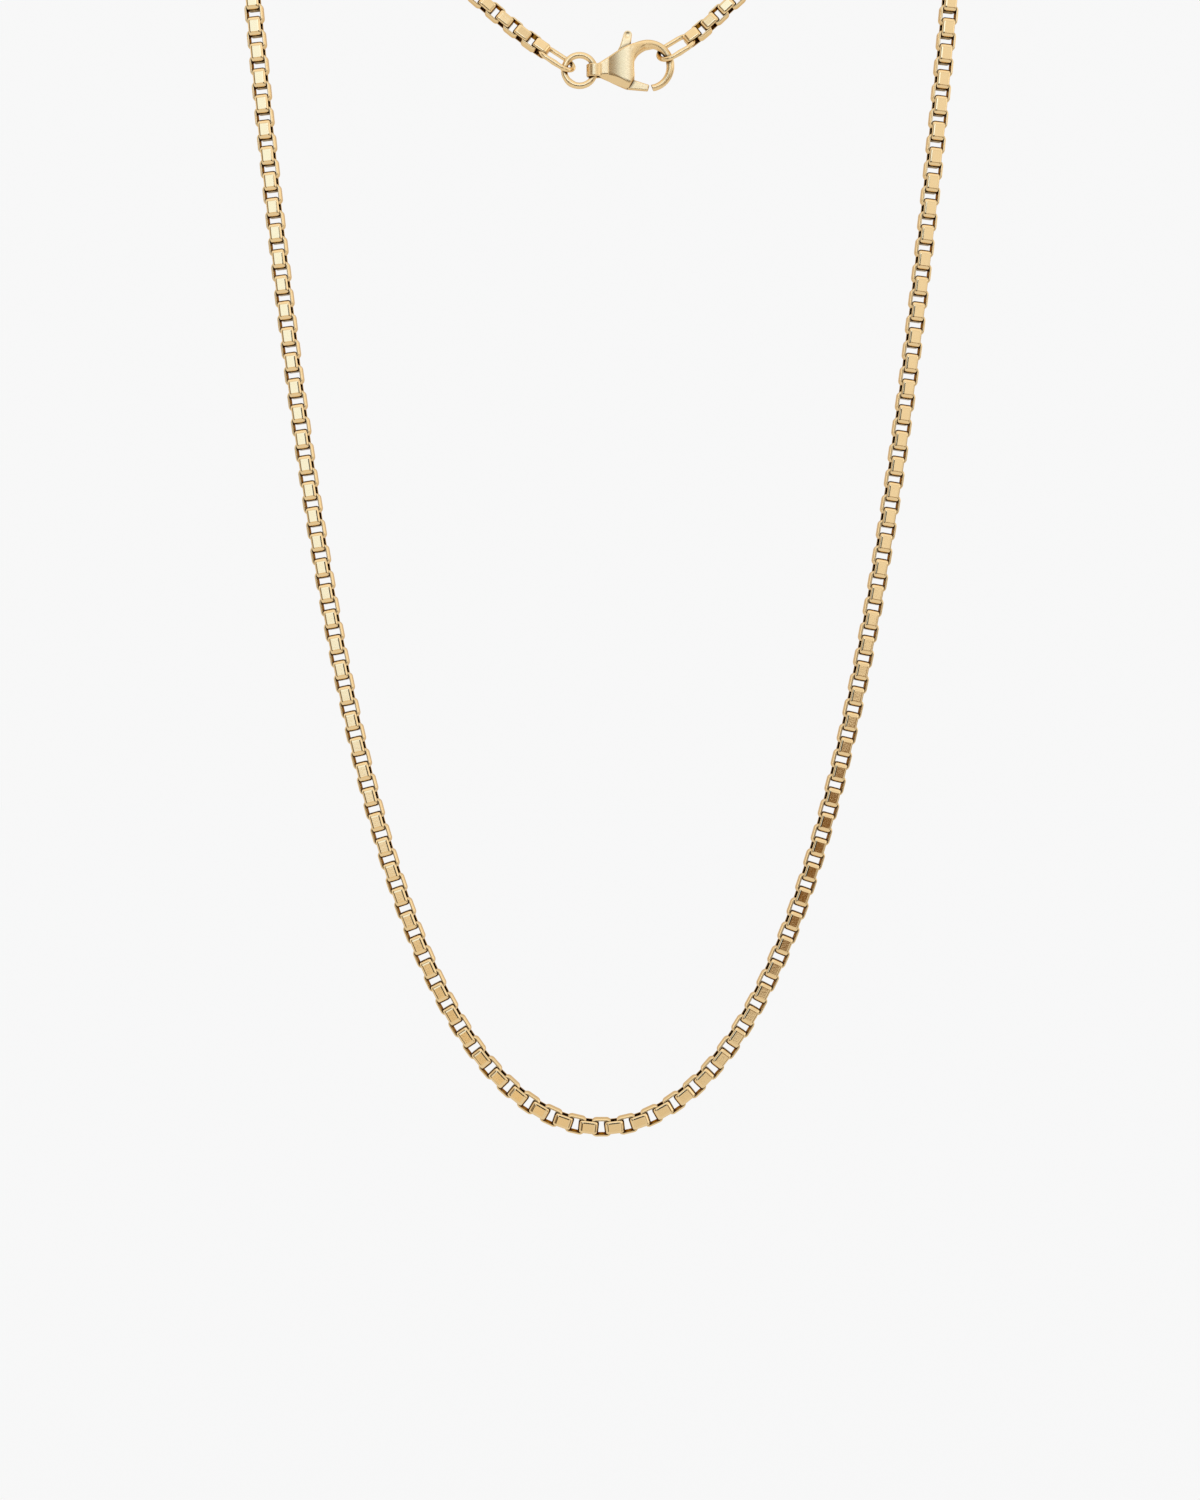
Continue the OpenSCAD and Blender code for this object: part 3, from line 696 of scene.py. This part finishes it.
# The clasp carries brown painted shade in its narrow places
clasp_gold = gold("gold_clasp", GOLD, roughness=0.27, grain=0.04, grain_size=0.12,
                  grain_depth=0.002, crevice_shade=0.6)
corners, looks, faces = skin(clasp_body_form, BODY_LOW, BODY_HIGH, BODY_CELL)
piece = add_piece("clasp_casting", corners + pin_at, looks, faces, [clasp_gold])
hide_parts("clasp_body")

# Clasp lever
# The thumb tab, the hub on the pin and the gate are one casting. A spring in the body
# holds the gate against the hook's tip.
LEVER_HALF_T, LEVER_ROUND = 0.45, 0.16
HUB_R, HUB_FILLET = 0.75, 0.2
TAB_KNEE, TAB_KNEE_R = (0.05, 1.7), 0.72
TAB_TOP, TAB_TOP_R, TAB_FILLET = (0.53, 3.93), 0.52, 0.3
# The thumb's hollow in each side of the tab is part of a ball
HOLLOW_R, HOLLOW_DEPTH, HOLLOW_ROUND = 1.6, 0.07, 0.06
# The arm and the gate, inside their rounding
ARM_AND_GATE = [(-0.4, -0.3), (0.5, -0.1), (1.15, -1.72), (1.45, -1.88), (3.05, -2.4),
                (2.93, -2.87), (0.62, -2.68)]
GATE_ROUND, GATE_FILLET = 0.14, 0.1
LEVER_LOW, LEVER_HIGH, LEVER_CELL = (-1.2, -0.7, -3.5), (4.6, 0.7, 4.8), 0.05


def rod(a, b, r_a, r_b, x, z):
    """A flat bar from a to b with round ends."""
    ex, ez = b[0] - a[0], b[1] - a[1]
    t = np.clip(((x - a[0]) * ex + (z - a[1]) * ez) / (ex * ex + ez * ez), 0, 1)
    return np.hypot(x - a[0] - t * ex, z - a[1] - t * ez) - (r_a + (r_b - r_a) * t)


def lever_form(x, y, z):
    """How far a place is outside the lever."""
    tab = joined(rod((0, 0), TAB_KNEE, TAB_KNEE_R, TAB_KNEE_R, x, z),
                 rod(TAB_KNEE, TAB_TOP, TAB_KNEE_R, TAB_TOP_R, x, z), TAB_FILLET)
    flat = joined(np.hypot(x, z) - HUB_R, tab, HUB_FILLET)
    flat = joined(flat, outline(ARM_AND_GATE, x, z) - GATE_ROUND, GATE_FILLET)
    form = both(flat, abs(y) - LEVER_HALF_T, LEVER_ROUND)
    hollow = np.hypot(np.hypot(x - TAB_TOP[0], z - TAB_TOP[1]),
                      abs(y) - LEVER_HALF_T - HOLLOW_R + HOLLOW_DEPTH) - HOLLOW_R
    form = less(form, hollow, HOLLOW_ROUND)
    return less(form, np.hypot(x, z) - PIN_SEAT_R, PIN_SEAT_ROUND)


corners, looks, faces = skin(lever_form, LEVER_LOW, LEVER_HIGH, LEVER_CELL)
piece = add_piece("lever_casting", corners + pin_at, looks, faces, [clasp_gold], body="lever")
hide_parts("clasp_lever")

# Lever pin
# A plain rod of the same gold, pressed into the two cheeks, which the lever turns on.
# It hardly shows, so the frame's own solid stays.
for pin_material in frame["nodes"]["lever_pin"].material_slots:
    pin_material.material = wire_gold

# Light and backdrop
# A plain pale floor under a tent of soft light, with brighter and darker panels for the gold
# to show. Of the two flags by the lens, which only the gold shows, the dark one draws fine
# dark lines in it, and the brown one tones the flats that look to the right.
PALE = (0.937, 0.937, 0.937)
FLOOR_Z, FLOOR_R, FLOOR_SIDES = -200.0, 6000.0, 96
FLOOR_DULL = 0.08
FLAG_Y = -5.0
# From the lens: left, right, bottom and top of each flag, and its colour
FLAGS = {
    "lens_flag": (-95, 95, -112, 128, (0.01, 0.01, 0.01)),
    "side_flag": (80, 420, -93, -13, (0.25, 0.14, 0.05)),
}
TENT_BASE = (0.82, 0.82, 0.82)
# Each panel of the tent: way round from the front, height, inner and outer spread, all in
# degrees, and its colour
PANELS = [
    (180, 10, 50, 90, (0.8, 0.8, 0.8)),
    (0, 75, 25, 50, (1.05, 1.05, 1.05)),
    (0, -19, 9, 15, (0.78, 0.75, 0.7)),
    (-15, -11, 9, 14, (0.86, 0.76, 0.6)),
    (-46, 8, 18, 26, (0.27, 0.22, 0.17)),
    (-30, -14, 9, 14, (0.05, 0.035, 0.025)),
    (-17, 10, 7, 19, (1.04, 1.32, 1.8)),
    (-1, 17, 9, 14, (1.4, 1.7, 2.3)),
    (22, 8, 12, 17, (0.93, 0.94, 0.95)),
    (-135, 6, 9, 16, (0.2, 0.16, 0.12)),
    (-108, 18, 12, 22, (1.35, 1.35, 1.35)),
    (135, 14, 12, 20, (1.3, 1.3, 1.3)),
    (92, -9, 9, 16, (0.2, 0.16, 0.12)),
    (68, 16, 10, 20, (1.3, 1.3, 1.3)),
    (50, -24, 9, 16, (0.2, 0.16, 0.12)),
]


def stage_sheet(name, corners, colour, glow=0.0):
    """A flat matt sheet of the stage."""
    mesh = bpy.data.meshes.new(name)
    mesh.from_pydata(np.array(corners) * MM, [], [tuple(range(len(corners)))])
    material, _, matt = new_material(f"{name}_matt")
    feed(matt.inputs["Base Color"], (*colour, 1))
    feed(matt.inputs["Roughness"], 1.0)
    feed(matt.inputs["Specular IOR Level"], 0.0)
    feed(matt.inputs["Emission Color"], (*PALE, 1))
    feed(matt.inputs["Emission Strength"], glow)
    mesh.materials.append(material)
    sheet = bpy.data.objects.new(name, mesh)
    bpy.context.collection.objects.link(sheet)
    return sheet


def direction_of(azimuth, elevation):
    """The direction to a place in the tent."""
    a, e = math.radians(azimuth), math.radians(elevation)
    return (math.sin(a) * math.cos(e), -math.cos(a) * math.cos(e), math.sin(e))


turn = np.linspace(0, 2 * math.pi, FLOOR_SIDES, endpoint=False)
rim = [(FLOOR_R * math.cos(a), FLOOR_R * math.sin(a), FLOOR_Z) for a in turn]
floor = stage_sheet("floor", rim, [FLOOR_DULL] * 3, glow=1 - FLOOR_DULL)
floor.visible_glossy = False
for name, (left, right, bottom, top, colour) in FLAGS.items():
    rim = [camera_at + (x, FLAG_Y, z)
           for x, z in ((left, bottom), (right, bottom), (right, top), (left, top))]
    flag = stage_sheet(name, rim, colour)
    flag.visible_camera = False

world = bpy.data.worlds.new("tent")
world.use_nodes = True
bpy.context.scene.world = world
tree = world.node_tree
outward = new_node(tree, "ShaderNodeTexCoord").outputs["Generated"]
tent = (*TENT_BASE, 1)
for azimuth, elevation, inner, outer, colour in PANELS:
    near = new_node(tree, "ShaderNodeVectorMath")
    near.operation = "DOT_PRODUCT"
    feed(near.inputs[0], outward)
    feed(near.inputs[1], direction_of(azimuth, elevation))
    share = new_node(tree, "ShaderNodeMapRange", Value=near.outputs["Value"],
                     From_Min=math.cos(math.radians(outer)),
                     From_Max=math.cos(math.radians(inner)))
    share.interpolation_type = "SMOOTHSTEP"
    tent = mixed(tree, share.outputs["Result"], tent, (*colour, 1))
# Seen directly, the tent is an even pale backdrop
seen_directly = new_node(tree, "ShaderNodeLightPath").outputs["Is Camera Ray"]
feed(tree.nodes["Background"].inputs["Color"], mixed(tree, seen_directly, tent, (*PALE, 1)))

bpy.context.scene.view_settings.view_transform = "Standard"
